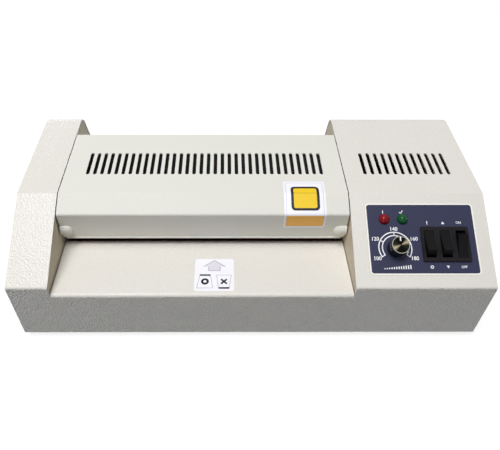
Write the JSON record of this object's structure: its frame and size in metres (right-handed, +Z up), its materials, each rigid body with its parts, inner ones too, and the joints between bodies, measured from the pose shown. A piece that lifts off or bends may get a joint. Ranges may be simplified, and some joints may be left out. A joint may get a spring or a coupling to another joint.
{
  "type": "pouch laminator",
  "caption": "Desktop pouch laminator with a sheet-metal case, feed table, vented roller cover, sloping control panel, driven heat and pull rollers.",
  "frame": {"origin": "on the bench under the case, midway along its length and midway between its front face and the screws of the inlet at the rear", "axes": "+X to the right as the user faces it, +Y away from the user, +Z up"},
  "size_m": [0.41, 0.212, 0.1169],
  "materials": {
    "case_paint": "cream textured powder coat",
    "zinc_steel": "zinc-plated sheet steel",
    "bright_steel": "turned steel",
    "panel_film": "navy printed film with a pale border",
    "lamp_red": "translucent red",
    "lamp_green": "translucent green",
    "knob_black": "moulded, fluted",
    "knob_metal": "spun finish",
    "phenolic": "moulded phenolic",
    "nickel": "nickel plated",
    "switch_black": "moulded",
    "roller_metal": "drawn tube",
    "silicone": "brick-red silicone rubber",
    "bronze": "sintered bronze",
    "acetal": "white acetal",
    "spring_steel": "drawn wire",
    "gear_nylon": "natural nylon",
    "motor_steel": "plated can",
    "brass_pinion": "cut brass",
    "heater_metal": "mill finish",
    "cutout_case": "moulded phenolic",
    "board_green": "solder mask",
    "component_mix": "moulded cases",
    "inlet_black": "moulded",
    "contact_brass": "nickel-plated brass",
    "foot_rubber": "moulded rubber"
  },
  "bodies": {
    "chassis": {"case_shell": "case_paint", "base_pan": "zinc_steel", "left_end_plate": "case_paint", "right_end_plate": "case_paint", "left_cheek": "case_paint", "right_cheek": "case_paint", "top_cover": "case_paint", "panel_label": "panel_film", "power_lamp": "lamp_red", "ready_lamp": "lamp_green", "temperature_control": "phenolic", "control_nut": "nickel", "heater_switch_body": "switch_black", "direction_switch_body": "switch_black", "power_switch_body": "switch_black", "left_frame": "zinc_steel", "right_frame": "zinc_steel", "tie_rods": "bright_steel", "lower_bushes": "bronze", "heat_springs": "spring_steel", "pull_springs": "spring_steel", "idler_pin": "bright_steel", "motor": "motor_steel", "motor_plate": "zinc_steel", "motor_posts": "bright_steel", "upper_heater": "heater_metal", "lower_heater": "heater_metal", "thermal_cutout": "cutout_case", "pouch_guides": "zinc_steel", "circuit_board": "board_green", "board_components": "component_mix", "board_standoffs": "acetal", "mains_inlet": "inlet_black", "inlet_blades": "contact_brass", "rubber_feet": "foot_rubber", "case_screws": "bright_steel", "cover_pins": "nickel"},
    "knob": {"temperature_knob": "knob_black", "knob_cap": "knob_metal", "control_shaft": "bright_steel"},
    "heater_paddle": {"heater_rocker": "switch_black"},
    "direction_paddle": {"direction_rocker": "switch_black"},
    "power_paddle": {"power_rocker": "switch_black"},
    "heat_carriage": {"heat_blocks": "acetal"},
    "pull_carriage": {"pull_blocks": "acetal"},
    "lower_heat_roller": {"lower_heat_core": "roller_metal", "lower_heat_sleeve": "silicone", "lower_heat_gear": "gear_nylon"},
    "upper_heat_roller": {"upper_heat_core": "roller_metal", "upper_heat_sleeve": "silicone", "upper_heat_gear": "gear_nylon"},
    "lower_pull_roller": {"lower_pull_core": "roller_metal", "lower_pull_sleeve": "silicone", "lower_pull_gear": "gear_nylon"},
    "upper_pull_roller": {"upper_pull_core": "roller_metal", "upper_pull_sleeve": "silicone", "upper_pull_gear": "gear_nylon"},
    "idler": {"idler_gear": "gear_nylon"},
    "pinion": {"motor_pinion": "brass_pinion"}
  },
  "joints": [
    {"name": "temperature_knob_turn", "type": "hinge", "parent": "chassis", "child": "knob", "pos_m": [0.1231, -0.07634, 0.08563], "axis": [0, -0.4891, 0.8722], "range_deg": [-123, 123]},
    {"name": "heater_switch_rock", "type": "hinge", "parent": "chassis", "child": "heater_paddle", "pos_m": [0.15215, -0.0705, 0.08329], "axis": [1, 0, 0], "range_deg": [0, 30]},
    {"name": "direction_switch_rock", "type": "hinge", "parent": "chassis", "child": "direction_paddle", "pos_m": [0.16575, -0.0705, 0.08329], "axis": [1, 0, 0], "range_deg": [0, 30]},
    {"name": "power_switch_rock", "type": "hinge", "parent": "chassis", "child": "power_paddle", "pos_m": [0.17935, -0.0705, 0.08329], "axis": [1, 0, 0], "range_deg": [-30, 0]},
    {"name": "heat_lift", "type": "slide", "parent": "chassis", "child": "heat_carriage", "axis": [0, 0, 1], "range_m": [0, 0.001], "stiffness_N_per_m": 2000, "springref_m": -0.003, "deforming": ["heat_springs"]},
    {"name": "pull_lift", "type": "slide", "parent": "chassis", "child": "pull_carriage", "axis": [0, 0, 1], "range_m": [0, 0.001], "stiffness_N_per_m": 2000, "springref_m": -0.003, "deforming": ["pull_springs"]},
    {"name": "lower_heat_spin", "type": "hinge", "parent": "chassis", "child": "lower_heat_roller", "pos_m": [-0.0415, -0.01683, 0.051], "axis": [1, 0, 0], "continuous": true},
    {"name": "upper_heat_spin", "type": "hinge", "parent": "heat_carriage", "child": "upper_heat_roller", "pos_m": [-0.0415, -0.01683, 0.077], "axis": [1, 0, 0], "continuous": true},
    {"name": "lower_pull_spin", "type": "hinge", "parent": "chassis", "child": "lower_pull_roller", "pos_m": [-0.0415, 0.02317, 0.051], "axis": [1, 0, 0], "continuous": true},
    {"name": "upper_pull_spin", "type": "hinge", "parent": "pull_carriage", "child": "upper_pull_roller", "pos_m": [-0.0415, 0.02317, 0.077], "axis": [1, 0, 0], "continuous": true},
    {"name": "idler_spin", "type": "hinge", "parent": "chassis", "child": "idler", "pos_m": [0.1011, 0.00317, 0.051], "axis": [1, 0, 0], "continuous": true},
    {"name": "motor_spin", "type": "hinge", "parent": "chassis", "child": "pinion", "pos_m": [0.1011, 0.03929, 0.04093], "axis": [1, 0, 0], "continuous": true}
  ],
  "couplings": [
    {"joint": "upper_heat_spin", "follows": "lower_heat_spin", "ratio": -1},
    {"joint": "lower_pull_spin", "follows": "lower_heat_spin", "ratio": 1},
    {"joint": "upper_pull_spin", "follows": "lower_heat_spin", "ratio": -1},
    {"joint": "idler_spin", "follows": "lower_heat_spin", "ratio": -1.8571},
    {"joint": "motor_spin", "follows": "lower_heat_spin", "ratio": -2.1667}
  ]
}
